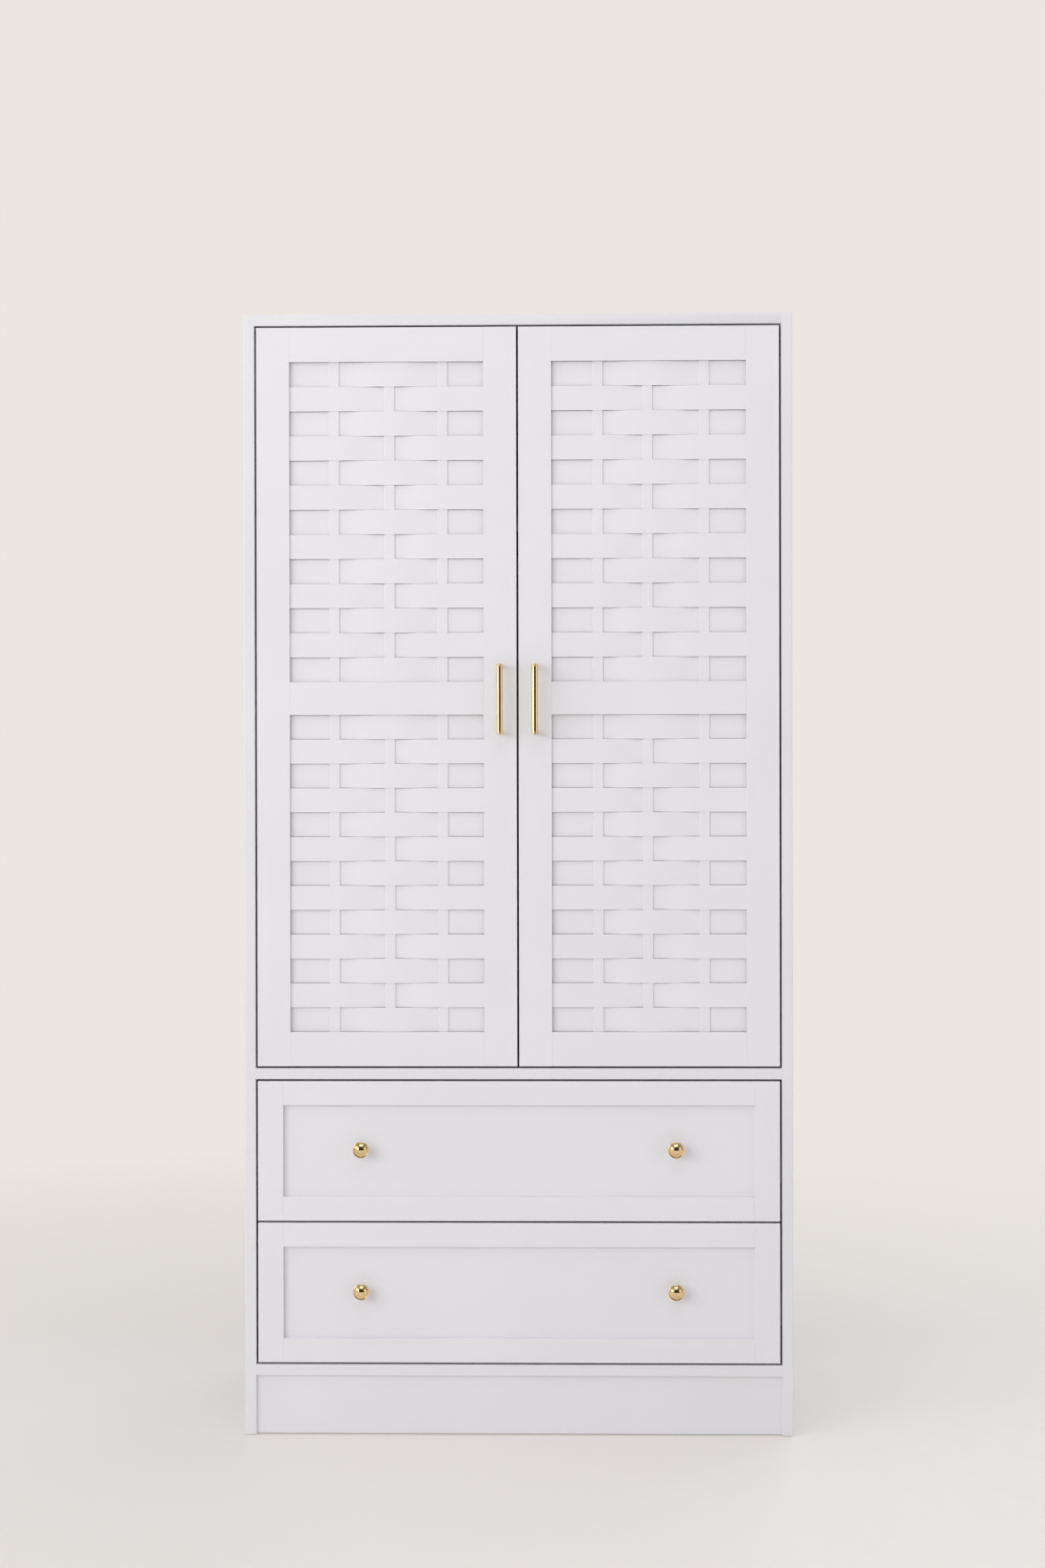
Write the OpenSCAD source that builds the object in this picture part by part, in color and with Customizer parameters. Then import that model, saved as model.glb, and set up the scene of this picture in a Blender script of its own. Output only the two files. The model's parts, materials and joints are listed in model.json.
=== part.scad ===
// Free-standing wardrobe: two woven-panel doors over two full-width drawers.
// Millimetres, +Z up, the front faces -Y. The origin is on the floor, at the centre of the
// outline with the door handles included.

/* [Carcass] */
// Overall width
overall_w = 800; // [740:10:860]
// Overall height
overall_h = 1637; // [1561:2:1741]
// Depth of the carcass, without the handles
depth = 500; // [490:5:560]
// Thickness of the carcass boards
board = 16; // [15:1:18]
// Height of the bottom panel's underside above the floor
plinth_h = 88; // [75:1:100]
// How far the plinth board stands behind the front edges
plinth_setback = 4; // [2:1:20]
// Height of the hat shelf's top face above the floor
hat_shelf_z = 1339; // [1250:1:1400]

/* [Doors] */
// Gap round every inset front
gap = 3; // [2:0.5:3.5]
// Thickness of the door frames and drawer frames
front_t = 18; // [18:1:20]
// Width of the door stiles
door_stile_w = 48; // [46:1:60]
// Height of the top and bottom door rails
door_rail_h = 50; // [44:1:60]
// Height of the middle door rail
mid_rail_h = 48; // [44:1:60]
// How far the middle rail's centre lies below the middle of the door
mid_rail_drop = 2; // [0:1:10]
// Rows of weave in each door panel
weave_rows = 13; // [7:2:15]
// Thickness of the weave slats
slat_t = 1.2; // [1:0.2:2.6]

/* [Drawers] */
// Height of each drawer front
drawer_h = 204; // [190:1:220]
// Width of the drawer front stiles
drawer_stile_w = 37; // [34:1:60]
// Height of the drawer front rails
drawer_rail_h = 35; // [28:1:44]
// How far the flat drawer panel lies behind the frame
drawer_recess = 6; // [3:0.5:7]
// Thickness of the drawer box boards
box_t = 12; // [12:1:15]
// Height of the drawer box
box_h = 140; // [110:5:150]

/* [Hardware] */
// How far the handle bars stand out from the doors
handle_reach = 30; // [26:1:36]
// Diameter of the handle bars
bar_d = 9.5; // [8:0.5:11]
// Overall length of the handle bars
bar_len = 102; // [102:2:130]
// Distance between the screw holes of a handle
handle_pitch = 96; // [88:4:96]
// Diameter of the drawer knobs
knob_d = 24; // [20:1:28]
// Distance between the two knobs of a drawer
knob_pitch = 459; // [400:1:500]
// How far the knobs sit above the middle of the drawer front
knob_rise = 3; // [0:1:20]

/* [Hidden] */

white = "#f1f0f3";
weave_white = "#efeef1";
gold = "#d9b46a";
steel = "#b9bcc0";
oak = "#d8b98c";
board_white = "#f4f4f4";
black = "#303030";
LEFT = -1;
RIGHT = 1;
LOWER = 0;
UPPER = 1;
slack = 0.1;
fit = 0.05;
$fn = 48;

// Heights
glide_h = 2;
bottom_top = plinth_h + board;
shelf_z = bottom_top + 2 * (drawer_h + gap) + gap;
shelf_top = shelf_z + board;
top_z = overall_h - board;
door_z = shelf_top + gap;
door_h = top_z - gap - door_z;
function drawer_z(level) = bottom_top + gap + level * (drawer_h + gap);

// Widths: X is 0 on the centre line
inner_x = overall_w / 2 - board;
door_w = (2 * inner_x - 3 * gap) / 2;
drawer_w = 2 * inner_x - 2 * gap;

// Depths: d is 0 on the front plane and grows towards the back
front_y = handle_reach - (depth + handle_reach) / 2;
back_t = 3;
back_d = depth - 12;
inside_d = back_d - 3;
groove = 5;

// Woven door panels
lip = 3.2;
stake_t = 1.8;
stake_w = 15;
slat_over = 3.2;
slat_under = slat_over + slat_t + stake_t;
stake_d = slat_over + slat_t;
weave_groove_t = slat_under + slat_t - lip + 0.4;
tuck = 4;
backing_d = front_t - 4;
rebate = 7;
panel_w = door_w - 2 * door_stile_w;
mid_z = door_z + door_h / 2 - mid_rail_drop;
panel_zs = [door_z + door_rail_h, mid_z + mid_rail_h / 2];
panel_hs = [mid_z - mid_rail_h / 2 - panel_zs[0], door_z + door_h - door_rail_h - panel_zs[1]];
bend_steps = 8;
// Stakes are set by hand, so each door has its own small offsets from even spacing
stake_x = [[-76.5, 4.5, 82], [-74, -1.5, 81]];

// Handles
post_r = 2.8;
handle_inset = 24;
handle_z = mid_z - 2;
handle_bore_r = 2.05;
handle_bore_len = 12;

// Hinges and stops
hinge_inset = 90;
hinge_zs = [door_z + hinge_inset, door_z + door_h / 2, door_z + door_h - hinge_inset];
cup_r = 17.5;
cup_depth = 12.5;
cup_edge = 22.5;
plate_d = front_t + 37;

// Drawer fronts
panel_x = drawer_w / 2 - drawer_stile_w;
drawer_panel_t = 8;
panel_seat = 6;
knob_z = drawer_h / 2 + knob_rise;
knob_screw_r = 2;

// Drawer boxes and runners
runner_w = 13;
box_x = inner_x - runner_w;
box_lift = 14;
box_len = depth - 78;
box_back_d = front_t + box_len;
bottom_t = 4;
bottom_lift = 10;
runner_len = 400;
middle_len = 380;
runner_lift = box_lift + 60;
steel_t = 1.2;

// Corner joints of the carcass
joint_zs = [plinth_h + board / 2, shelf_z + board / 2, top_z + board / 2];
dowel_ds = [120, 380];
cam_ds = [60, 250, 440];
dowel_r = 4;
dowel_len = 30;
dowel_in = 10;
bolt_r = 3.5;
bolt_len = 34;
cam_r = 7.5;
cam_h = 12.5;
cam_x = 34;

// Hat shelf, rail and brackets
hat_shelf_d = 30;
pin_r = 2.5;
pin_ds = [80, 440];
rail_z = hat_shelf_z - board - 40;
rail_r = 12.5;
rail_d = 245;
bracket_w = 30;
bracket_x = inner_x - bracket_w / 2 - 2;
bracket_leaf = 36;
bracket_t = 2;
wall_hole_r = 3.25;
wall_hole_z = top_z - 22;
corner_cut = 66;

module from_front() { translate([0, front_y, 0]) children(); }

// Box given by its two corners, in x, depth and z
module block(lo, hi) { translate(lo) cube(hi - lo); }

// Round bar along X from x0 to x1 (either order)
module x_bar(r, x0, x1, d, z) {
    translate([min(x0, x1), d, z]) rotate([0, 90, 0]) cylinder(r = r, h = abs(x1 - x0));
}

// Round bar along the depth from d0 to d1
module d_bar(r, x, d0, d1, z) {
    translate([x, d1, z]) rotate([90, 0, 0]) cylinder(r = r, h = d1 - d0);
}

// Mirrors its children for the left side; they are drawn for the right
module on(side) { mirror([side == LEFT ? 1 : 0, 0, 0]) children(); }

module on_both_sides() {
    for (side = [LEFT, RIGHT]) on(side) children();
}

// ---- Carcass boards ----

// Every horizontal drilling between the side panels and the panel at height z
module joint_drillings(z, clear) {
    for (d = dowel_ds)
        x_bar(dowel_r + clear, inner_x - dowel_len + dowel_in - clear, inner_x + dowel_in + clear, d, z);
    for (d = cam_ds)
        x_bar(bolt_r + clear, inner_x - cam_x, inner_x + dowel_in + clear, d, z);
}

module side_panel(side) {
    color(white) from_front() on(side) difference() {
        block([inner_x, 0, glide_h], [inner_x + board, depth, overall_h]);
        block([inner_x - 1, back_d - slack, plinth_h - slack],
              [inner_x + groove, back_d + back_t + slack, top_z + groove]);
        for (z = joint_zs) joint_drillings(z, fit);
        for (d = pin_ds, step = [-2:2])
            x_bar(pin_r + fit, inner_x - 1, inner_x + 9, d,
                  hat_shelf_z - board - pin_r + 32 * step);
    }
}

// A horizontal panel between the sides, drilled for its dowels, cam bolts and cam locks
module drilled_panel(z, rear_d) {
    difference() {
        block([-inner_x, 0, z], [inner_x, rear_d, z + board]);
        on_both_sides() {
            joint_drillings(z + board / 2, fit);
            for (d = cam_ds)
                translate([inner_x - cam_x, d, z - 1]) cylinder(r = cam_r + fit, h = cam_h + 1 + fit);
        }
    }
}

module top_panel() {
    color(white) from_front() difference() {
        drilled_panel(top_z, depth);
        block([-inner_x - 1, back_d - slack, top_z - 1],
              [inner_x + 1, back_d + back_t + slack, top_z + groove]);
    }
}

module middle_shelf() {
    color(white) from_front() drilled_panel(shelf_z, inside_d);
}

module bottom_panel() {
    color(white) from_front() drilled_panel(plinth_h, inside_d);
}

module plinth_board() {
    color(white) from_front()
        block([-inner_x, plinth_setback, glide_h + 1], [inner_x, plinth_setback + board, plinth_h]);
}

module plinth_rear_rail() {
    color(white) from_front()
        block([-inner_x, back_d - 60 - board, glide_h + 1], [inner_x, back_d - 60, plinth_h]);
}

// Half of the back sheet. Its upper outer corner is cut off, so that the wall screw passes it.
module back_panel(side) {
    x1 = inner_x + groove - 0.5;
    z1 = top_z + groove - 0.5;
    color(board_white) from_front() on(side)
        translate([0, back_d + back_t, 0]) rotate([90, 0, 0]) linear_extrude(back_t)
            polygon([[1, plinth_h], [x1, plinth_h], [x1, z1 - corner_cut], [x1 - corner_cut, z1], [1, z1]]);
}

// H-shaped strip that joins the two back sheets
module back_joining_strip() {
    wing = 12;
    skin = 1.2;
    web = 0.8;
    color(board_white) from_front()
        translate([0, back_d, plinth_h]) linear_extrude(top_z - plinth_h) union() {
            translate([-wing, -skin]) square([2 * wing, skin]);
            translate([-web / 2, -skin]) square([web, back_t + 2 * skin]);
            translate([-wing, back_t]) square([2 * wing, skin]);
        }
}

module hat_shelf() {
    color(white) from_front()
        block([1 - inner_x, hat_shelf_d, hat_shelf_z - board], [inner_x - 1, inside_d, hat_shelf_z]);
}

module shelf_pins() {
    color(steel) from_front() on_both_sides()
        for (d = pin_ds)
            x_bar(pin_r, inner_x - 9, inner_x + 8, d, hat_shelf_z - board - pin_r);
}

module hanging_rail() {
    color(steel) from_front() difference() {
        x_bar(rail_r, 4 - inner_x, inner_x - 4, rail_d, rail_z);
        x_bar(rail_r - 1.2, 3 - inner_x, inner_x - 3, rail_d, rail_z);
    }
}

// Round sockets that carry the ends of the hanging rail
module rail_sockets() {
    color(steel) from_front() on_both_sides() difference() {
        x_bar(rail_r + 4, inner_x - 16, inner_x, rail_d, rail_z);
        x_bar(rail_r + fit, inner_x - 17, inner_x - 3, rail_d, rail_z);
    }
}

module cam_locks() {
    color(steel) from_front()
        for (z = joint_zs, d = cam_ds) on_both_sides() difference() {
            translate([inner_x - cam_x, d, z - board / 2]) cylinder(r = cam_r, h = cam_h);
            x_bar(bolt_r + fit, inner_x - cam_x, inner_x, d, z);
            translate([inner_x - cam_x - 4, d - 0.6, z - board / 2 - 1]) cube([8, 1.2, 2.5]);
        }
}

module cam_bolts() {
    color(steel) from_front() on_both_sides()
        for (z = joint_zs, d = cam_ds)
            x_bar(bolt_r, inner_x + dowel_in, inner_x + dowel_in - bolt_len, d, z);
}

module carcass_dowels() {
    color(oak) from_front() on_both_sides()
        for (z = joint_zs, d = dowel_ds)
            x_bar(dowel_r, inner_x + dowel_in, inner_x + dowel_in - dowel_len, d, z);
}

module floor_glides() {
    color(black) from_front() on_both_sides()
        for (d = [40, depth - 40])
            translate([inner_x + board / 2, d, 0]) cylinder(r = 7, h = glide_h);
}

// Steel angles under the top panel that take the screws into the wall
module wall_brackets() {
    color(steel) from_front() on_both_sides() difference() {
        union() {
            for (leaf = [[bracket_leaf, bracket_t], [bracket_t, bracket_leaf]])
                block([bracket_x - bracket_w / 2, back_d - leaf[0], top_z - leaf[1]],
                      [bracket_x + bracket_w / 2, back_d, top_z]);
        }
        d_bar(wall_hole_r, bracket_x, back_d - bracket_t - 1, back_d + 1, wall_hole_z);
    }
}

// ---- Door hinges on the carcass ----

// Cross-shaped plates that carry the hinge arms on the side panels
module hinge_plates() {
    color(steel) from_front() on_both_sides()
        for (z = hinge_zs) {
            block([inner_x - 2.5, plate_d - 9, z - 24], [inner_x, plate_d + 9, z + 24]);
            block([inner_x - 9, plate_d - 15, z - 7], [inner_x - 2.5, plate_d + 27, z + 7]);
        }
}

// Arms clipped over the plates, with a nose that reaches into the cup of the closed door
module hinge_arms() {
    arm_x = inner_x - 12.5;
    color(steel) from_front() on_both_sides()
        for (z = hinge_zs) {
            block([arm_x, plate_d - 30, z - 8.5], [arm_x + 3.5, plate_d + 29, z + 8.5]);
            for (rise = [-8.5, 7.2])
                block([arm_x + 3.5, plate_d - 15, z + rise], [inner_x - 3.5, plate_d + 27, z + rise + 1.3]);
            block([arm_x - 4, front_t + 3, z - 8.5], [arm_x, plate_d - 24, z + 8.5]);
        }
}

// Euro screws of the hinge plates and of the drawer runners
module mounting_screws() {
    color(steel) from_front() on_both_sides() {
        for (z = hinge_zs, rise = [-16, 16])
            x_bar(3, inner_x - 3.5, inner_x - 2.5, plate_d, z + rise);
        for (level = [LOWER, UPPER], d = [60, 220, 380])
            x_bar(3, inner_x - steel_t - 0.6, inner_x - steel_t, d, drawer_z(level) + runner_lift);
    }
}

// Buffered stops that the closed doors rest against, under the top and on the shelf
module door_stops() {
    color(black) from_front() on_both_sides() {
        block([30, front_t + 0.3, top_z - 9], [54, front_t + 14, top_z]);
        block([30, front_t + 0.3, shelf_top], [54, front_t + 14, shelf_top + 9]);
    }
}

// ---- Doors, drawn with the panel centre at x = 0 and d = 0 on the front face ----

function door_centre(side) = side * (gap / 2 + door_w / 2);

module on_door(side) { translate([door_centre(side), front_y, 0]) children(); }

// The slot that holds the ends of slats and stakes, and the rebate behind it for the backing
module panel_seats() {
    for (row = [0, 1]) {
        z0 = panel_zs[row];
        z1 = z0 + panel_hs[row];
        block([-panel_w / 2 - tuck - 1, lip, z0 - tuck - 1],
              [panel_w / 2 + tuck + 1, lip + weave_groove_t, z1 + tuck + 1]);
        block([-panel_w / 2 - rebate, backing_d, z0 - rebate],
              [panel_w / 2 + rebate, front_t + 1, z1 + rebate]);
    }
}

function hinge_edge_x(side) = side * (door_w / 2 - cup_edge);

module door_stiles(side) {
    color(white) on_door(side) difference() {
        for (end = [-1, 1])
            translate([end * (door_w - door_stile_w) / 2, 0, door_z])
                translate([-door_stile_w / 2, 0, 0]) cube([door_stile_w, front_t, door_h]);
        panel_seats();
        for (z = hinge_zs)
            d_bar(cup_r + fit, hinge_edge_x(side), front_t - cup_depth, front_t + 1, z);
        for (z = handle_zs())
            d_bar(2.5, handle_x(side), -1, front_t + 1, z);
    }
}

module door_rails(side) {
    color(white) on_door(side) difference() {
        for (rail = [[door_z, panel_zs[0]], [panel_zs[0] + panel_hs[0], panel_zs[1]],
                     [panel_zs[1] + panel_hs[1], door_z + door_h]])
            block([-panel_w / 2, 0, rail[0]], [panel_w / 2, front_t, rail[1]]);
        panel_seats();
    }
}

module door_backing(side) {
    color(board_white) on_door(side)
        for (row = [0, 1])
            block([-panel_w / 2 - rebate + 0.5, backing_d, panel_zs[row] - rebate + 0.5],
                  [panel_w / 2 + rebate - 0.5, backing_d + 3,
                   panel_zs[row] + panel_hs[row] + rebate - 0.5]);
}

// Front line of a slat, as points of x and depth. It lies flat where it crosses a stake and
// bends smoothly between one stake and the next. Slats that start under pass behind the outer
// stakes and over the middle one, and the others the other way round.
function ease(t) = (1 - cos(180 * t)) / 2;
function bend(x0, x1, d0, d1) =
    [for (i = [0:bend_steps]) let (t = i / bend_steps) [x0 + (x1 - x0) * t, d0 + (d1 - d0) * ease(t)]];
function slat_line(side, starts_under) =
    let (s = stake_x[side == LEFT ? 0 : 1],
         half = panel_w / 2 + tuck,
         flat = stake_w / 2 + 1,
         outer = starts_under ? slat_under : slat_over,
         inner = starts_under ? slat_over : slat_under)
    concat([[-half, outer]], bend(s[0] + flat, s[1] - flat, outer, inner),
           bend(s[1] + flat, s[2] - flat, inner, outer), [[half, outer]]);

module weave_slat(side, starts_under, height) {
    front = slat_line(side, starts_under);
    rear = [for (i = [len(front) - 1:-1:0]) front[i] + [0, slat_t]];
    linear_extrude(height) polygon(concat(front, rear));
}

module door_slats(side) {
    color(weave_white) on_door(side)
        for (row = [0, 1], i = [0:weave_rows - 1]) {
            pitch = panel_hs[row] / weave_rows;
            translate([0, 0, panel_zs[row] + i * pitch + slack])
                weave_slat(side, i % 2 == 0, pitch - 2 * slack);
        }
}

module door_stakes(side) {
    color(weave_white) on_door(side)
        for (row = [0, 1], x = stake_x[side == LEFT ? 0 : 1])
            block([x - stake_w / 2, stake_d + fit, panel_zs[row] - tuck],
                  [x + stake_w / 2, stake_d + stake_t - fit, panel_zs[row] + panel_hs[row] + tuck]);
}

// Cups pressed into the backs of the stiles, with their flanges on the surface
module door_hinge_cups(side) {
    wall = 1.2;
    color(steel) on_door(side)
        for (z = hinge_zs) difference() {
            union() {
                d_bar(cup_r, hinge_edge_x(side), front_t - cup_depth, front_t, z);
                translate([hinge_edge_x(side), 0, z])
                    block([-side * 6 - 9, front_t, -26], [-side * 6 + 9, front_t + 1.2, 26]);
            }
            d_bar(cup_r - wall, hinge_edge_x(side), front_t - cup_depth + 1, front_t + 2, z);
        }
}

// ---- Handles ----

function handle_x(side) = -side * (door_w / 2 - handle_inset);
function handle_zs() = [for (end = [-0.5, 0.5]) handle_z + end * handle_pitch];

module door_handle(side) {
    color(gold) on_door(side) difference() {
        union() {
            translate([handle_x(side), bar_d / 2 - handle_reach, handle_z - bar_len / 2])
                cylinder(d = bar_d, h = bar_len);
            for (z = handle_zs())
                d_bar(post_r, handle_x(side), bar_d / 2 - handle_reach, 0, z);
        }
        for (z = handle_zs()) d_bar(handle_bore_r, handle_x(side), -handle_bore_len, 1, z);
    }
}

module door_handle_screws(side) {
    color(steel) on_door(side)
        for (z = handle_zs()) {
            d_bar(handle_bore_r - fit, handle_x(side), 1 - handle_bore_len, front_t, z);
            d_bar(4, handle_x(side), front_t, front_t + 2, z);
        }
}

// ---- Drawers ----

module on_drawer(level) { translate([0, front_y, drawer_z(level)]) children(); }

module drawer_panel_body(grow) {
    block([-panel_x - grow, drawer_recess, drawer_rail_h - grow],
          [panel_x + grow, drawer_recess + drawer_panel_t, drawer_h - drawer_rail_h + grow]);
}

module drawer_stiles(level) {
    color(white) on_drawer(level) difference() {
        on_both_sides() block([panel_x, 0, 0], [drawer_w / 2, front_t, drawer_h]);
        drawer_panel_body(panel_seat);
    }
}

module drawer_rails(level) {
    color(white) on_drawer(level) difference() {
        for (z = [0, drawer_h - drawer_rail_h])
            block([-panel_x, 0, z], [panel_x, front_t, z + drawer_rail_h]);
        drawer_panel_body(panel_seat);
    }
}

module drawer_panel(level) {
    color(white) on_drawer(level) difference() {
        drawer_panel_body(panel_seat - 0.5);
        for (side = [LEFT, RIGHT])
            d_bar(knob_screw_r + fit, side * knob_pitch / 2, 0, front_t, knob_z);
    }
}

module drawer_sides(level) {
    color(board_white) on_drawer(level) on_both_sides() difference() {
        block([box_x - box_t, front_t, box_lift], [box_x, box_back_d, box_lift + box_h]);
        block([box_x - box_t - 1, front_t - 1, box_lift + bottom_lift - slack],
              [box_x - box_t + groove, box_back_d + 1, box_lift + bottom_lift + bottom_t + slack]);
    }
}

module drawer_back(level) {
    color(board_white) on_drawer(level)
        block([box_t - box_x, box_back_d - box_t, box_lift + bottom_lift + bottom_t],
              [box_x - box_t, box_back_d, box_lift + box_h]);
}

module drawer_bottom(level) {
    color(board_white) on_drawer(level)
        block([box_t - box_x - groove + 0.5, front_t, box_lift + bottom_lift],
              [box_x - box_t + groove - 0.5, box_back_d, box_lift + bottom_lift + bottom_t]);
}

// Turned knobs with a stepped rim and a domed centre, each with its own screw and nut
module drawer_knobs(level) {
    r = knob_d / 2;
    reach = 24;
    profile = [
        [0, 0], [7, 0], [7, 1.5], [4.2, 4], [4.2, 12], [r - 1.5, 17], [r, 18.5], [r, 20.5],
        [r - 1.2, 21.7], [r - 3, 21.7], [r - 3.6, 22.4], [r - 6, 23.5], [0, reach]
    ];
    color(gold) on_drawer(level)
        for (side = [LEFT, RIGHT])
            translate([side * knob_pitch / 2, drawer_recess, knob_z]) {
                rotate([90, 0, 0]) rotate_extrude() polygon(profile);
                d_bar(knob_screw_r, 0, 0, drawer_panel_t, 0);
                d_bar(5, 0, drawer_panel_t, drawer_panel_t + 2.4, 0);
            }
}

// ---- Drawer runners: three nested steel members on each side ----

// Steel channel along the depth: a web, with a flange at its top and bottom edges
module channel(web_x, tip_x, half_h, d0, len) {
    x0 = min(web_x, tip_x);
    x1 = max(web_x, tip_x);
    web_end = web_x > tip_x ? -steel_t : steel_t;
    block([min(web_x, web_x + web_end), d0, -half_h], [max(web_x, web_x + web_end), d0 + len, half_h]);
    for (z = [-half_h, half_h - steel_t]) block([x0, d0, z], [x1, d0 + len, z + steel_t]);
}

module on_runner(level) {
    translate([0, front_y, drawer_z(level) + runner_lift]) on_both_sides() children();
}

module outer_runners() {
    color(steel)
        for (level = [LOWER, UPPER])
            on_runner(level) channel(inner_x, inner_x - 9, 22.5, front_t + 4, runner_len);
}

module middle_runners(level) {
    color(steel) on_runner(level)
        channel(inner_x - 7.6, inner_x - 3, 18.5, front_t + 14, middle_len);
}

module inner_runners(level) {
    color(steel) on_runner(level)
        channel(box_x, inner_x - 9.6, 14.5, front_t + 6, runner_len);
}

// ---- One line for each node ----

side_panel(LEFT);  // left_side_panel
side_panel(RIGHT);  // right_side_panel
top_panel();
middle_shelf();
bottom_panel();
plinth_board();
plinth_rear_rail();
back_panel(LEFT);  // back_panel_left
back_panel(RIGHT);  // back_panel_right
back_joining_strip();
hat_shelf();
shelf_pins();
hanging_rail();
rail_sockets();
cam_locks();
cam_bolts();
carcass_dowels();
floor_glides();
wall_brackets();
hinge_arms();
hinge_plates();
mounting_screws();
door_stops();
outer_runners();
door_stiles(LEFT);  // left_door_stiles
door_rails(LEFT);  // left_door_rails
door_backing(LEFT);  // left_door_backing
door_slats(LEFT);  // left_door_slats
door_stakes(LEFT);  // left_door_stakes
door_hinge_cups(LEFT);  // left_door_hinge_cups
door_handle(LEFT);  // left_door_handle
door_handle_screws(LEFT);  // left_door_handle_screws
door_stiles(RIGHT);  // right_door_stiles
door_rails(RIGHT);  // right_door_rails
door_backing(RIGHT);  // right_door_backing
door_slats(RIGHT);  // right_door_slats
door_stakes(RIGHT);  // right_door_stakes
door_hinge_cups(RIGHT);  // right_door_hinge_cups
door_handle(RIGHT);  // right_door_handle
door_handle_screws(RIGHT);  // right_door_handle_screws
drawer_stiles(UPPER);  // upper_drawer_stiles
drawer_rails(UPPER);  // upper_drawer_rails
drawer_panel(UPPER);  // upper_drawer_panel
drawer_sides(UPPER);  // upper_drawer_sides
drawer_back(UPPER);  // upper_drawer_back
drawer_bottom(UPPER);  // upper_drawer_bottom
drawer_knobs(UPPER);  // upper_drawer_knobs
inner_runners(UPPER);  // upper_drawer_inner_runners
middle_runners(UPPER);  // upper_drawer_middle_runners
drawer_stiles(LOWER);  // lower_drawer_stiles
drawer_rails(LOWER);  // lower_drawer_rails
drawer_panel(LOWER);  // lower_drawer_panel
drawer_sides(LOWER);  // lower_drawer_sides
drawer_back(LOWER);  // lower_drawer_back
drawer_bottom(LOWER);  // lower_drawer_bottom
drawer_knobs(LOWER);  // lower_drawer_knobs
inner_runners(LOWER);  // lower_drawer_inner_runners
middle_runners(LOWER);  // lower_drawer_middle_runners
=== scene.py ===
"""Looks of a free-standing wardrobe with woven doors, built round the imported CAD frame."""

import json
import math

import bmesh
import bpy
from mathutils import Matrix, Vector


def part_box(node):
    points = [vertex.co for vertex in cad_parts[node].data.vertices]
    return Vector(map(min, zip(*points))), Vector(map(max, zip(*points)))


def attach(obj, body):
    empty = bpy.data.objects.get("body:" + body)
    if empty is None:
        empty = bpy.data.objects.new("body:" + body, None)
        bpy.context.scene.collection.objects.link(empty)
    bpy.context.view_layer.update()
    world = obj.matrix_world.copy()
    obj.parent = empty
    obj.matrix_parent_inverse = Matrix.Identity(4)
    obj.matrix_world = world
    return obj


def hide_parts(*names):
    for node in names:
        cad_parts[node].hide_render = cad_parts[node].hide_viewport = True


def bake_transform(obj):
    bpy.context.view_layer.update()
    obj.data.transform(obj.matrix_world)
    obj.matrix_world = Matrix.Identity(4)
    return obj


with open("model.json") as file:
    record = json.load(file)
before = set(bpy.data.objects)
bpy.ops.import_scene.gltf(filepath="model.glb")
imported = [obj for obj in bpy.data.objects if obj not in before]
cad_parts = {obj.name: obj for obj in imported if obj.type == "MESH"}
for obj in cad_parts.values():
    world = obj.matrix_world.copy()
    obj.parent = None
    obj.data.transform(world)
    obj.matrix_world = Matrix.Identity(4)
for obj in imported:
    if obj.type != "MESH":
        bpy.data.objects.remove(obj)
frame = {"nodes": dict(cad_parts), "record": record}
NODES = frame["nodes"]
BEHAVIOUR = frame["record"]["behaviour"]
BODY_OF = {node: body for body, members in BEHAVIOUR["bodies"].items() for node in members}
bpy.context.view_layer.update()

MM = 0.001
TOUCHING = 1e-6
FLAT_ANGLE = math.radians(0.2)
SHARP_ANGLE = math.radians(30)
SMOOTH_ANGLE = math.radians(50)
WEAR = "edge_wear"
DOORS = ("left_door", "right_door")
DRAWERS = ("upper_drawer", "lower_drawer")


# ---- Materials ----

def scaled(colour, factor, lift=0.0):
    """The colour made lighter or darker."""
    return tuple(min(1, factor * c + lift) for c in colour)


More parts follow.
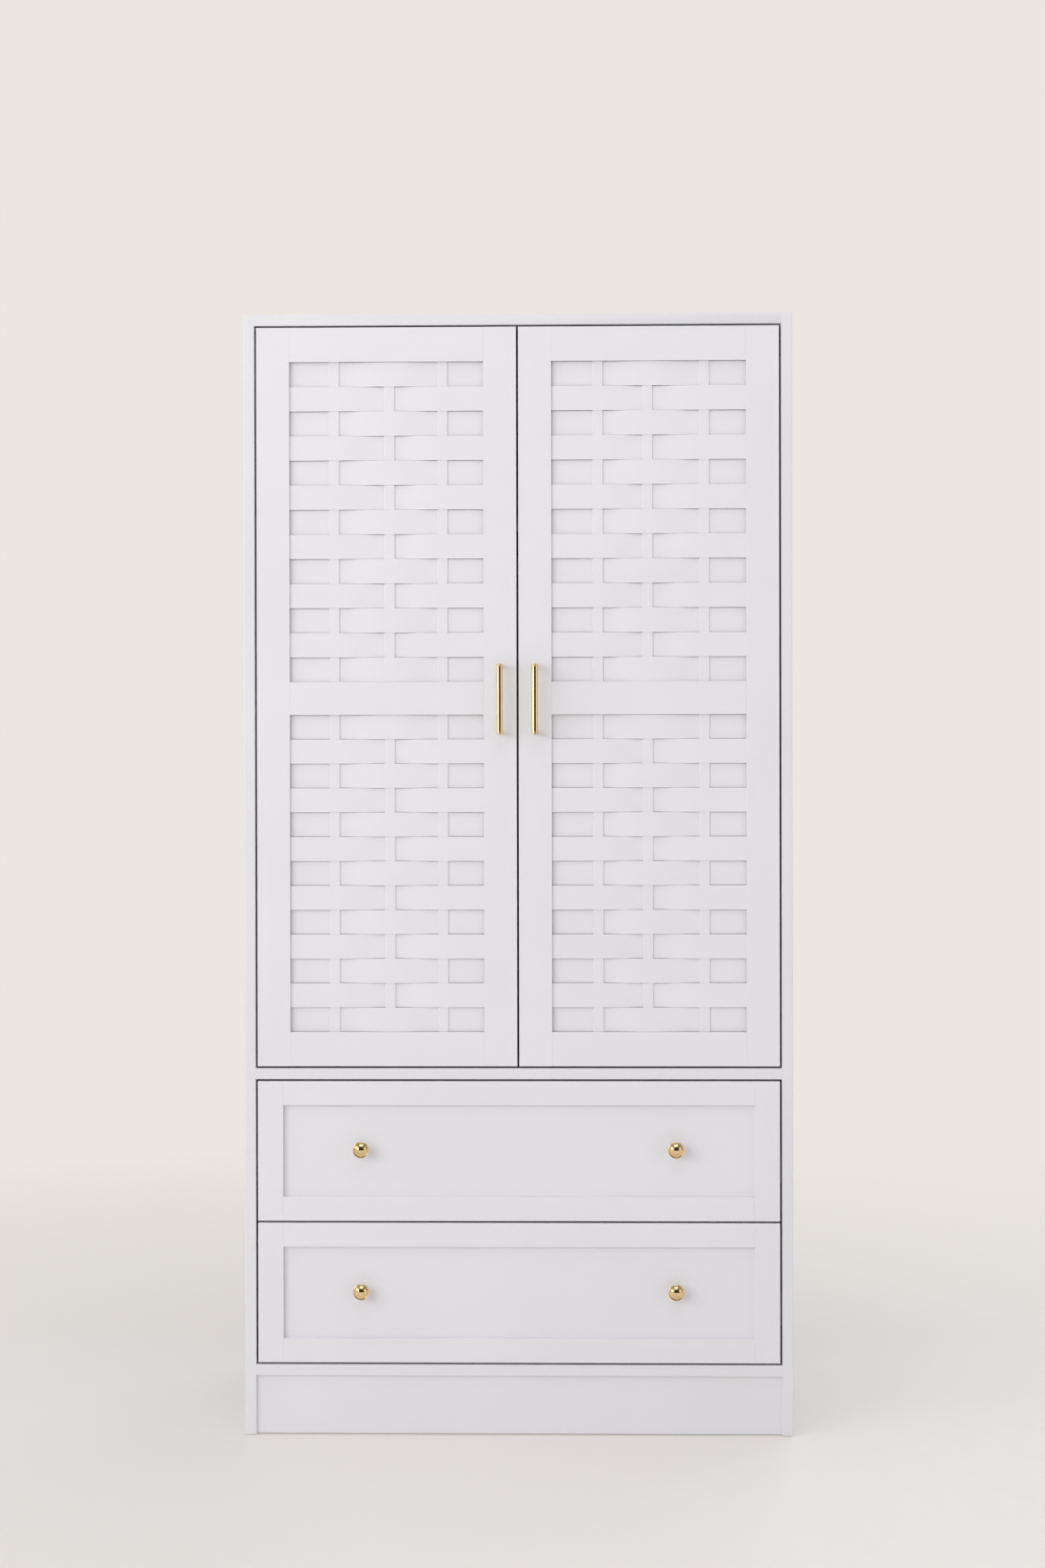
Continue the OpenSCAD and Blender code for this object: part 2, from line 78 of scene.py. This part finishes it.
class Surface:
    """A Principled material and the nodes that feed it, in the piece's own metres."""

    def __init__(self, name, roughness, metallic=0.0):
        self.material = bpy.data.materials.new(name)
        self.material.use_nodes = True
        self.tree = self.material.node_tree
        self.shader = self.tree.nodes["Principled BSDF"]
        self.shader.inputs["Metallic"].default_value = metallic
        self.shader.inputs["Roughness"].default_value = roughness
        self.coords = self.tree.nodes.new("ShaderNodeTexCoord").outputs["Object"]

    def node(self, kind, links=None, values=None, **settings):
        made = self.tree.nodes.new(kind)
        for key, value in settings.items():
            setattr(made, key, value)
        for key, value in (values or {}).items():
            made.inputs[key].default_value = value
        for key, source in (links or {}).items():
            self.tree.links.new(source, made.inputs[key])
        return made

    def noise(self, scale, detail=3.0, stretch=(1, 1, 1)):
        """Noise of about 1/scale metres, drawn out along the axes whose stretch is small."""
        place = self.node("ShaderNodeMapping", {"Vector": self.coords}, {"Scale": stretch})
        made = self.node(
            "ShaderNodeTexNoise", {"Vector": place.outputs["Vector"]},
            {"Scale": scale, "Detail": detail},
        )
        return made.outputs["Fac"]

    def remap(self, value, low, high, from_low=0.3, from_high=0.7):
        made = self.node(
            "ShaderNodeMapRange", {"Value": value},
            {"From Min": from_low, "From Max": from_high, "To Min": low, "To Max": high},
        )
        return made.outputs["Result"]

    def blend(self, factor, first, second):
        """first where factor is 0 and second where it is 1. Each is a colour or a socket."""
        made = self.node("ShaderNodeMix", {"Factor": factor}, data_type="RGBA")
        for key, source in ((6, first), (7, second)):
            if isinstance(source, tuple):
                made.inputs[key].default_value = (*source, 1)
            else:
                self.tree.links.new(source, made.inputs[key])
        return made.outputs[2]

    def clouds(self, scale, light, dark, detail=3.0, stretch=(1, 1, 1)):
        """Two tones that run softly into each other."""
        return self.blend(self.remap(self.noise(scale, detail, stretch), 0, 1), light, dark)

    def worn_edges(self, amount):
        """amount or less on the eased edges of a piece, broken up by noise, and 0 elsewhere."""
        edge = self.node("ShaderNodeAttribute", attribute_name=WEAR).outputs["Fac"]
        patchy = self.remap(self.noise(60), 0.4 * amount, amount)
        return self.node("ShaderNodeMath", {0: edge, 1: patchy}, operation="MULTIPLY").outputs[0]

    def bump(self, height, distance, under=None):
        links = {"Height": height}
        if under is not None:
            links["Normal"] = under
        return self.node("ShaderNodeBump", links, {"Distance": distance}).outputs["Normal"]

    def finish(self, colour, roughness, normal):
        self.tree.links.new(colour, self.shader.inputs["Base Color"])
        self.tree.links.new(roughness, self.shader.inputs["Roughness"])
        self.tree.links.new(normal, self.shader.inputs["Normal"])
        return self.material


def satin_paint(name, light, dark, grain=(1, 1, 1), grain_depth=0.03 * MM, roughness=(0.34, 0.46)):
    """Sprayed satin paint: faint clouds of tone, orange peel and the grain of the board."""
    s = Surface(name, roughness[0])
    s.shader.inputs["Specular IOR Level"].default_value = 0.42
    s.shader.inputs["Coat Weight"].default_value = 0.08
    s.shader.inputs["Coat Roughness"].default_value = 0.25
    tone = s.clouds(4.5, light, dark)
    speck = s.remap(s.noise(700, 2), 0, 0.35, 0.55, 0.8)
    tone = s.blend(speck, tone, dark)
    colour = s.blend(s.worn_edges(0.8), tone, scaled(light, 1.04))
    rough = s.remap(s.noise(22, 4), *roughness)
    peel = s.bump(s.noise(260, 2), 0.02 * MM)
    fibres = s.bump(s.noise(420, 4, grain), grain_depth, under=peel)
    return s.finish(colour, rough, fibres)


def hardboard(name, face, rear):
    """Thin board: a smooth printed face, and brown pressed fibre where it looks backwards."""
    s = Surface(name, 0.5)
    fibre = s.clouds(520, rear, scaled(rear, 0.72), 5, (1, 1, 0.35))
    printed = s.clouds(6, face, scaled(face, 0.97))
    facing = s.node("ShaderNodeNewGeometry").outputs["Normal"]
    rearward = s.node("ShaderNodeSeparateXYZ", {"Vector": facing}).outputs["Y"]
    back = s.remap(rearward, 0, 1, 0.3, 0.6)
    rough = s.remap(s.noise(80, 4), 0.5, 0.7)
    return s.finish(s.blend(back, printed, fibre), rough, s.bump(s.noise(600, 4), 0.06 * MM))


def melamine(name, light, dark):
    """Foil-faced drawer board with a fine linen emboss."""
    s = Surface(name, 0.45)
    colour = s.blend(s.worn_edges(0.5), s.clouds(7, light, dark), scaled(light, 0.9))
    across = s.bump(s.noise(800, 2, (1, 0.12, 1)), 0.03 * MM)
    along = s.bump(s.noise(800, 2, (0.12, 1, 0.12)), 0.03 * MM, under=across)
    return s.finish(colour, s.remap(s.noise(40), 0.4, 0.55), along)


def polished_metal(name, light, dark, roughness, scratch=(1, 1, 0.05)):
    """Polished or plated metal with faint smudges and hairline scratches."""
    s = Surface(name, roughness[0], metallic=1.0)
    tone = s.clouds(45, light, dark, 4)
    colour = s.blend(s.worn_edges(0.6), tone, scaled(light, 1.12))
    rough = s.remap(s.noise(180, 5), *roughness)
    return s.finish(colour, rough, s.bump(s.noise(2600, 2, scratch), 0.006 * MM))


def zinc_plate(name):
    """Passivated zinc on pressed steel: a dull metal with small blotchy crystals."""
    s = Surface(name, 0.35, metallic=1.0)
    cells = s.node("ShaderNodeTexVoronoi", {"Vector": s.coords}, {"Scale": 420.0})
    grey = s.node("ShaderNodeSeparateColor", {"Color": cells.outputs["Color"]}).outputs["Red"]
    tone = s.blend(s.remap(grey, 0, 1, 0, 1), (0.60, 0.61, 0.63), (0.50, 0.51, 0.54))
    colour = s.blend(s.worn_edges(0.8), tone, (0.78, 0.79, 0.80))
    rough = s.remap(s.noise(150, 4), 0.26, 0.44)
    return s.finish(colour, rough, s.bump(s.noise(900, 3), 0.02 * MM))


def moulded_plastic(name, light, dark):
    """Moulded plastic with a spark-eroded texture."""
    s = Surface(name, 0.38)
    colour = s.blend(s.worn_edges(0.7), s.clouds(30, light, dark), scaled(light, 1.3, 0.02))
    rough = s.remap(s.noise(90, 4), 0.38, 0.52)
    return s.finish(colour, rough, s.bump(s.noise(1500, 2), 0.04 * MM))


def beech(name):
    """Turned beech with short dark rays along the grain."""
    s = Surface(name, 0.55)
    rays = s.remap(s.noise(900, 2, (0.08, 1, 1)), 0, 1, 0.55, 0.75)
    tone = s.clouds(120, (0.62, 0.42, 0.25), (0.50, 0.32, 0.18), 3, (0.1, 1, 1))
    rough = s.remap(s.noise(200), 0.48, 0.62)
    pores = s.bump(s.noise(900, 3, (0.08, 1, 1)), 0.05 * MM)
    return s.finish(s.blend(rays, tone, (0.33, 0.19, 0.1)), rough, pores)


def make_materials():
    made = (
        satin_paint("painted_board", (0.80, 0.795, 0.815), (0.775, 0.77, 0.785)),
        satin_paint("painted_front", (0.82, 0.81, 0.84), (0.795, 0.785, 0.81)),
        satin_paint(
            "painted_weave", (0.815, 0.806, 0.835), (0.79, 0.783, 0.805),
            grain=(0.06, 1, 1), grain_depth=0.06 * MM, roughness=(0.50, 0.62),
        ),
        hardboard("hardboard", (0.76, 0.755, 0.75), (0.36, 0.22, 0.12)),
        melamine("drawer_board", (0.78, 0.775, 0.77), (0.75, 0.745, 0.735)),
        polished_metal("polished_brass", (0.90, 0.69, 0.39), (0.84, 0.62, 0.33), (0.03, 0.06)),
        polished_metal(
            "chromed_tube", (0.78, 0.79, 0.80), (0.70, 0.71, 0.73), (0.08, 0.2),
            scratch=(0.05, 1, 1),
        ),
        zinc_plate("zinc_steel"),
        beech("beech"),
        moulded_plastic("white_plastic", (0.76, 0.76, 0.75), (0.72, 0.72, 0.70)),
        moulded_plastic("black_plastic", (0.025, 0.025, 0.027), (0.018, 0.018, 0.02)),
    )
    return {material.name.split(".")[0]: material for material in made}


SLOT_OF = {name: node.data.materials[0].name.split(".")[0] for name, node in NODES.items()}
MATERIALS = make_materials()


# ---- Mesh tools ----

def welded(node):
    """A copy of a CAD node's mesh with its vertices joined and its flat faces whole."""
    bm = bmesh.new()
    bm.from_mesh(NODES[node].data)
    bmesh.ops.remove_doubles(bm, verts=bm.verts, dist=TOUCHING)
    bmesh.ops.dissolve_limit(bm, angle_limit=FLAT_ANGLE, verts=bm.verts, edges=bm.edges)
    return bm


def ease(bm, width, segments=2, chosen=None):
    """Rounds the sharp edges that chosen(edge) accepts, and marks the new faces as worn."""
    wear = bm.faces.layers.float.get(WEAR) or bm.faces.layers.float.new(WEAR)
    edges = [
        e for e in bm.edges
        if len(e.link_faces) == 2 and e.calc_face_angle(0) > SHARP_ANGLE
        and (chosen is None or chosen(e))
    ]
    made = bmesh.ops.bevel(
        bm, geom=edges, offset=width, offset_type="OFFSET", segments=segments,
        profile=0.5, affect="EDGES", clamp_overlap=True,
    )
    for face in made["faces"]:
        face[wear] = 1.0


def add_piece(name, bm, node, replaced=(), rides=True):
    """Makes bm an object in the CAD node's material, which rides with it unless told not to."""
    mesh = bpy.data.meshes.new(name)
    bm.normal_update()
    bm.to_mesh(mesh)
    bm.free()
    mesh.materials.append(MATERIALS[SLOT_OF[node]])
    for polygon in mesh.polygons:
        polygon.use_smooth = True
        polygon.material_index = 0
    mesh.set_sharp_from_angle(angle=SMOOTH_ANGLE)
    piece = bpy.data.objects.new(name, mesh)
    bpy.context.scene.collection.objects.link(piece)
    weighted = piece.modifiers.new("weighted_normals", "WEIGHTED_NORMAL")
    weighted.keep_sharp = True
    if rides:
        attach(piece, BODY_OF[node])
    if replaced:
        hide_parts(*replaced)
    return piece


def islands(bm):
    """The separate solids of a mesh, each as its list of vertices."""
    left = set(bm.verts)
    found = []
    while left:
        queue = [left.pop()]
        solid = []
        while queue:
            vertex = queue.pop()
            solid.append(vertex)
            for edge in vertex.link_edges:
                other = edge.other_vert(vertex)
                if other in left:
                    left.remove(other)
                    queue.append(other)
        found.append(solid)
    return found


def solid_boxes(node):
    """Lowest and highest corner of each separate solid in a CAD node, in a fixed order."""
    bm = welded(node)
    boxes = []
    for solid in islands(bm):
        lo = Vector([min(v.co[i] for v in solid) for i in range(3)])
        hi = Vector([max(v.co[i] for v in solid) for i in range(3)])
        boxes.append((lo, hi))
    bm.free()
    return sorted(boxes, key=lambda box: tuple(round(c, 5) for c in box[0]))


def turned(bm, profile, origin, axis, steps=64):
    """Adds a turned solid. profile holds (radius, distance along axis), from end to end."""
    turn = Vector((0, 0, 1)).rotation_difference(Vector(axis)).to_matrix().to_4x4()
    place = Matrix.Translation(Vector(origin)) @ turn
    angles = [2 * math.pi * k / steps for k in range(steps)]
    rings = []
    for radius, along in profile:
        if radius < TOUCHING:
            rings.append([bm.verts.new(place @ Vector((0, 0, along)))])
            continue
        rings.append([
            bm.verts.new(place @ Vector((radius * math.cos(a), radius * math.sin(a), along)))
            for a in angles
        ])
    for lower, upper in zip(rings, rings[1:]):
        for k in range(steps):
            corners = [lower[k % len(lower)], lower[(k + 1) % len(lower)],
                       upper[(k + 1) % len(upper)], upper[k % len(upper)]]
            bm.faces.new(list(dict.fromkeys(corners)))


def in_mm(*points):
    """Profile points given in millimetres."""
    return [(radius * MM, along * MM) for radius, along in points]


def arc(centre, radius, start, end, steps=6):
    """Points of a round corner in a profile, with angles in degrees from the radius axis."""
    angles = [math.radians(start + (end - start) * k / steps) for k in range(steps + 1)]
    return [(centre[0] + radius * math.cos(a), centre[1] + radius * math.sin(a)) for a in angles]


# ---- Boards and frames ----

def eased_node(node, width, segments=2, chosen=None):
    """Puts a copy with rounded edges in the CAD node's place."""
    bm = welded(node)
    ease(bm, width, segments, chosen)
    add_piece(node + "_piece", bm, node, [node])


def side_panel(node):
    """The outer edges are rounded more than the inner ones, which meet the other boards."""
    lo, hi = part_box(node)
    outer_x = max(lo.x, hi.x, key=abs)
    outer_round = 1.2 * MM
    front_y = lo.y + outer_round + 0.1 * MM
    bm = welded(node)
    ease(bm, outer_round, 3, lambda e: all(abs(v.co.x - outer_x) < TOUCHING for v in e.verts))
    ease(bm, 0.35 * MM, 2, lambda e: all(v.co.y < front_y for v in e.verts))
    add_piece(node + "_piece", bm, node, [node])


def along_x(edge):
    a, b = edge.verts
    return abs(a.co.y - b.co.y) < TOUCHING and abs(a.co.z - b.co.z) < TOUCHING


def long_upright(edge):
    a, b = edge.verts
    return abs(a.co.z - b.co.z) > 100 * MM


def make_carcass():
    for side in ("left", "right"):
        side_panel(side + "_side_panel")
    for node in ("top_panel", "middle_shelf", "bottom_panel", "plinth_board",
                 "plinth_rear_rail", "hat_shelf"):
        eased_node(node, 0.5 * MM, chosen=along_x)
    for node in ("back_panel_left", "back_panel_right", "back_joining_strip"):
        eased_node(node, 0.3 * MM, segments=1)
    for node in ("door_stops", "rail_sockets", "wall_brackets", "outer_runners",
                 "hinge_plates", "hinge_arms", "floor_glides"):
        eased_node(node, 0.4 * MM)


# ---- Doors ----

def make_door(door):
    for part in ("stiles", "rails"):
        eased_node(f"{door}_{part}", 0.4 * MM)
    eased_node(f"{door}_backing", 0.3 * MM, segments=1)
    eased_node(f"{door}_slats", 0.3 * MM)
    eased_node(f"{door}_stakes", 0.6 * MM, segments=3, chosen=long_upright)
    eased_node(f"{door}_hinge_cups", 0.3 * MM)
    hinge_links(door)
    handle(door)


def handle(door):
    """Round bar with softened ends and a fine groove near each, on two turned posts."""
    node = door + "_handle"
    lo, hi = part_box(node)
    x = (lo.x + hi.x) / 2
    r = (hi.x - lo.x) / 2
    length = hi.z - lo.z
    reach = hi.y - lo.y
    lip = 1.5 * MM
    groove_r = r - 0.3 * MM
    groove = [(r, 3.0 * MM), (groove_r, 3.3 * MM), (groove_r, 3.6 * MM), (r, 3.9 * MM)]
    end = [(0, 0)] + arc((r - lip, lip), lip, -90, 0) + groove
    other_end = [(radius, length - along) for radius, along in reversed(end)]
    bm = bmesh.new()
    turned(bm, end + other_end, (x, lo.y + r, lo.z), (0, 0, 1))

    post_foot = in_mm((0, 0), (3.6, 0), (3.6, 1.2), (3.0, 2.2))
    post_head = [(3.0 * MM, reach - 2 * r - 1 * MM), (3.4 * MM, reach - 2 * r),
                 (3.4 * MM, reach - r), (0, reach - r)]
    screws = solid_boxes(door + "_handle_screws")
    for z in sorted({round((low.z + high.z) / 2, 5) for low, high in screws}):
        turned(bm, post_foot + post_head, (x, hi.y, z), (0, -1, 0), steps=40)
    bmesh.ops.recalc_face_normals(bm, faces=bm.faces)
    add_piece(node + "_piece", bm, node, [node])


LINK_RADIUS = 25.6 * MM
LINK_HALF_THICK = 0.8 * MM
LINK_HALF_TALL = 6 * MM
LINK_STEPS = 28
PIN_HALF_TALL = 6.8 * MM
# Where a link starts and ends, in degrees round the pivot.
ARM_END, CUP_END = 59, 25


def hinge_links(door):
    """The curved link of each hinge, between its arm and its cup; it stays where it is and does
    not swing with the door.
    """
    joint = next(j for j in BEHAVIOUR["joints"] if j["child"] == door)
    pivot = Vector(joint["pos_m"])
    inward = -math.copysign(1, pivot.x)

    def spot(degrees, z, radius=LINK_RADIUS):
        """A point at this angle round the pivot, from the door's plane towards the back."""
        a = math.radians(degrees)
        x = pivot.x + inward * radius * math.cos(a)
        return Vector((x, pivot.y + radius * math.sin(a), z))

    bm = bmesh.new()
    levels = [(lo.z + hi.z) / 2 for lo, hi in solid_boxes(door + "_hinge_cups")]
    for z in levels:
        rings = []
        for k in range(LINK_STEPS + 1):
            degrees = ARM_END + (CUP_END - ARM_END) * k / LINK_STEPS
            rings.append([
                bm.verts.new(spot(degrees, z + up * LINK_HALF_TALL,
                                  LINK_RADIUS + out * LINK_HALF_THICK))
                for out, up in ((-1, -1), (1, -1), (1, 1), (-1, 1))
            ])
        for near, far in zip(rings, rings[1:]):
            for k in range(4):
                bm.faces.new([near[k], near[(k + 1) % 4], far[(k + 1) % 4], far[k]])
        bm.faces.new(rings[0])
        bm.faces.new(rings[-1])
    bmesh.ops.recalc_face_normals(bm, faces=bm.faces)
    ease(bm, 0.25 * MM, segments=1)

    pin = in_mm((0, 0), (1.7, 0), (2, 0.3), (2, 13.3), (1.7, 13.6), (0, 13.6))
    for z in levels:
        for degrees in (ARM_END, CUP_END):
            turned(bm, pin, spot(degrees, z - PIN_HALF_TALL), (0, 0, 1), steps=24)
    bmesh.ops.recalc_face_normals(bm, faces=bm.faces)
    links = add_piece(door + "_hinge_links", bm, door + "_hinge_cups", rides=False)
    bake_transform(links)


# ---- Drawers ----

def knob_profile(r, reach):
    """A foot, a slim neck, a rounded rim, a groove, a domed face with a fine ring on it."""
    rim_r = 1.1 * MM
    dome_r = 12.1 * MM
    profile = in_mm((0, 0), (7, 0), (7, 1), (6, 1.8), (4.4, 4), (4.1, 7), (4.6, 11),
                    (7, 14.5), (10.2, 16.4))
    profile += arc((r - rim_r, reach - 5.7 * MM), rim_r, -50, 90, 8)
    profile += [(10.2 * MM, reach - 4.75 * MM), (9.8 * MM, reach - 5.2 * MM),
                (9.5 * MM, reach - 5.1 * MM)]
    profile += arc((0, reach - dome_r - 0.3 * MM), dome_r, 39, 61, 8)
    profile += [(5.6 * MM, reach - 1.95 * MM), (5.3 * MM, reach - 1.9 * MM)]
    profile += arc((0, reach - dome_r), dome_r, 65, 88, 8)
    return profile + [(0, reach)]


def knobs(drawer):
    """Turned knobs on the front panel, each with its six-sided nut behind the panel."""
    node = drawer + "_knobs"
    front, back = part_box(drawer + "_panel")
    nut = in_mm((0, 0), (5, 0), (5, 1.6), (4.4, 2.3), (0, 2.3))
    bm = bmesh.new()
    for lo, hi in solid_boxes(node):
        x, z = (lo.x + hi.x) / 2, (lo.z + hi.z) / 2
        profile = knob_profile((hi.x - lo.x) / 2, front.y - lo.y)
        turned(bm, profile, (x, front.y, z), (0, -1, 0), steps=72)
        turned(bm, nut, (x, back.y, z), (0, 1, 0), steps=6)
    bmesh.ops.recalc_face_normals(bm, faces=bm.faces)
    add_piece(node + "_piece", bm, node, [node])


def make_drawer(drawer):
    for part in ("stiles", "rails"):
        eased_node(f"{drawer}_{part}", 0.4 * MM)
    eased_node(f"{drawer}_panel", 0.3 * MM, segments=1)
    for part in ("sides", "back", "bottom"):
        eased_node(f"{drawer}_{part}", 0.5 * MM)
    for part in ("inner_runners", "middle_runners"):
        eased_node(f"{drawer}_{part}", 0.3 * MM)
    knobs(drawer)


def colour_kept_nodes():
    """The CAD nodes that still show get the full materials."""
    for name, piece in NODES.items():
        piece.data.materials[0] = MATERIALS[SLOT_OF[name]]


# ---- Studio ----

FLOOR_RADIUS = 9.0
PALE = (0.83, 0.79, 0.75)
STUDIO_LIGHT = (0.93, 0.945, 1.0)
DARK_GLOSS = (0.045, 0.034, 0.02)
# Gloss shows a dark room in this direction. The cosines say where it starts and is fully dark.
DARK_SIDE = (0.24, -0.93, 0.27)
DARK_CONE = {"From Min": 0.70, "From Max": 0.82}


def make_floor():
    """A plain pale floor that brightens into the backdrop's colour far from the wardrobe."""
    mesh = bpy.data.meshes.new("studio_floor")
    bm = bmesh.new()
    bmesh.ops.create_circle(bm, cap_ends=True, radius=FLOOR_RADIUS, segments=96)
    bm.to_mesh(mesh)
    bm.free()
    s = Surface("floor_paint", 0.55)
    far = s.node("ShaderNodeVectorMath", {0: s.coords}, operation="LENGTH").outputs["Value"]
    fade = s.remap(far, 0.3, 1, 0.35, 2.8)
    tone = s.clouds(1.5, (0.86, 0.825, 0.785), (0.84, 0.80, 0.76))
    s.finish(tone, s.remap(s.noise(30), 0.5, 0.6), s.bump(s.noise(150, 4), 0.2 * MM))
    glow = s.node("ShaderNodeEmission", None, {"Color": (*PALE, 1), "Strength": 1.0})
    mixed = s.node("ShaderNodeMixShader", {0: fade, 1: s.shader.outputs[0], 2: glow.outputs[0]})
    output = s.tree.nodes["Material Output"]
    s.tree.links.new(mixed.outputs[0], output.inputs["Surface"])
    mesh.materials.append(s.material)
    floor = bpy.data.objects.new("studio_floor", mesh)
    bpy.context.scene.collection.objects.link(floor)


def make_backdrop():
    """Pale to the camera, dimmer as a light, and dark where gloss mirrors the room in front."""
    world = bpy.data.worlds.new("studio")
    bpy.context.scene.world = world
    world.use_nodes = True
    nodes, links = world.node_tree.nodes, world.node_tree.links

    def made(kind, values, sources, **settings):
        node = nodes.new(kind)
        for key, value in settings.items():
            setattr(node, key, value)
        for key, value in values.items():
            node.inputs[key].default_value = value
        for key, source in sources.items():
            links.new(source, node.inputs[key])
        return node.outputs[0] if kind != "ShaderNodeVectorMath" else node.outputs["Value"]

    paths = nodes.new("ShaderNodeLightPath")
    towards = nodes.new("ShaderNodeTexCoord").outputs["Generated"]
    front = made("ShaderNodeVectorMath", {1: DARK_SIDE}, {0: towards}, operation="DOT_PRODUCT")
    facing = made("ShaderNodeMapRange", DARK_CONE, {"Value": front})
    dark = made("ShaderNodeMath", {}, {0: facing, 1: paths.outputs["Is Glossy Ray"]},
                operation="MULTIPLY")
    light = made("ShaderNodeBackground", {"Color": (*STUDIO_LIGHT, 1), "Strength": 0.40}, {})
    black = made("ShaderNodeBackground", {"Color": (*DARK_GLOSS, 1)}, {})
    lit = made("ShaderNodeMixShader", {}, {0: dark, 1: light, 2: black})
    shown = made("ShaderNodeBackground", {"Color": (*PALE, 1)}, {})
    whole = made("ShaderNodeMixShader", {}, {0: paths.outputs["Is Camera Ray"], 1: lit, 2: shown})
    links.new(whole, nodes["World Output"].inputs["Surface"])


def add_light(name, spot, target, size, energy, colour, in_gloss=True):
    """A rectangular lamp at spot that faces target. in_gloss says if reflections show it."""
    data = bpy.data.lights.new(name, "AREA")
    data.shape = "RECTANGLE"
    data.size, data.size_y = size
    data.energy = energy
    data.color = colour
    light = bpy.data.objects.new(name, data)
    bpy.context.scene.collection.objects.link(light)
    light.location = spot
    light.visible_glossy = in_gloss
    aim = Vector(target) - Vector(spot)
    light.rotation_euler = aim.to_track_quat("-Z", "Y").to_euler()


def make_lights():
    """The key's inner half stays out of the gloss, so that the bars have a dark middle line."""
    middle = (0, -0.235, 0.85)
    upper = (0, -0.235, 1.2)
    cool = (0.95, 0.97, 1.0)
    key = (1.9, 2.3), 44.5, (0.99, 0.985, 0.985)
    add_light("key_outer_half", (-3.85, -3.67, 1.95), middle, *key)
    add_light("key_inner_half", (-2.35, -4.83, 1.95), middle, *key, in_gloss=False)
    add_light("side_fill", (-3.6, -1.6, 2.0), middle, (2.6, 2.6), 24, cool)
    add_light("top_fill", (0.0, -2.8, 3.8), upper, (2.5, 2.0), 15, cool)
    add_light("overhead", (0, -0.4, 4.4), middle, (3.4, 3.4), 45, (0.96, 0.97, 1.0))
    add_light("back_fill", (2.2, 4.2, 2.6), middle, (3.2, 2.4), 60, (0.97, 0.98, 1.0))
    add_light("right_fill", (3.6, -2.6, 1.6), middle, (2.4, 2.4), 16, (0.98, 0.98, 1.0))


LENS_MM = 61.44
CAMERA_SPOT = (0.0888, -4.135, 0.970)
CAMERA_TURNS = (1.203, -0.268, -0.111)  # yaw, pitch and roll in degrees, from a fit to the photo


def make_camera():
    """Level view from the front, a little to the right of the middle."""
    yaw, pitch, roll = (math.radians(turn) for turn in CAMERA_TURNS)
    ahead = math.cos(pitch)
    forward = Vector((-math.sin(yaw) * ahead, math.cos(yaw) * ahead, math.sin(pitch)))
    level = forward.cross(Vector((0, 0, 1))).normalized()
    upright = level.cross(forward)
    right = math.cos(roll) * level + math.sin(roll) * upright
    up = right.cross(forward)
    data = bpy.data.cameras.new("camera")
    data.lens = LENS_MM
    data.sensor_width = 36.0
    data.sensor_fit = "AUTO"
    camera = bpy.data.objects.new("camera", data)
    bpy.context.scene.collection.objects.link(camera)
    axes = Matrix((right, up, -forward)).transposed().to_4x4()
    camera.matrix_world = Matrix.Translation(CAMERA_SPOT) @ axes
    bpy.context.scene.camera = camera


def make_studio():
    make_floor()
    make_backdrop()
    make_lights()
    make_camera()
    bpy.context.scene.view_settings.view_transform = "Standard"


make_carcass()
for each in DOORS:
    make_door(each)
for each in DRAWERS:
    make_drawer(each)
colour_kept_nodes()
make_studio()
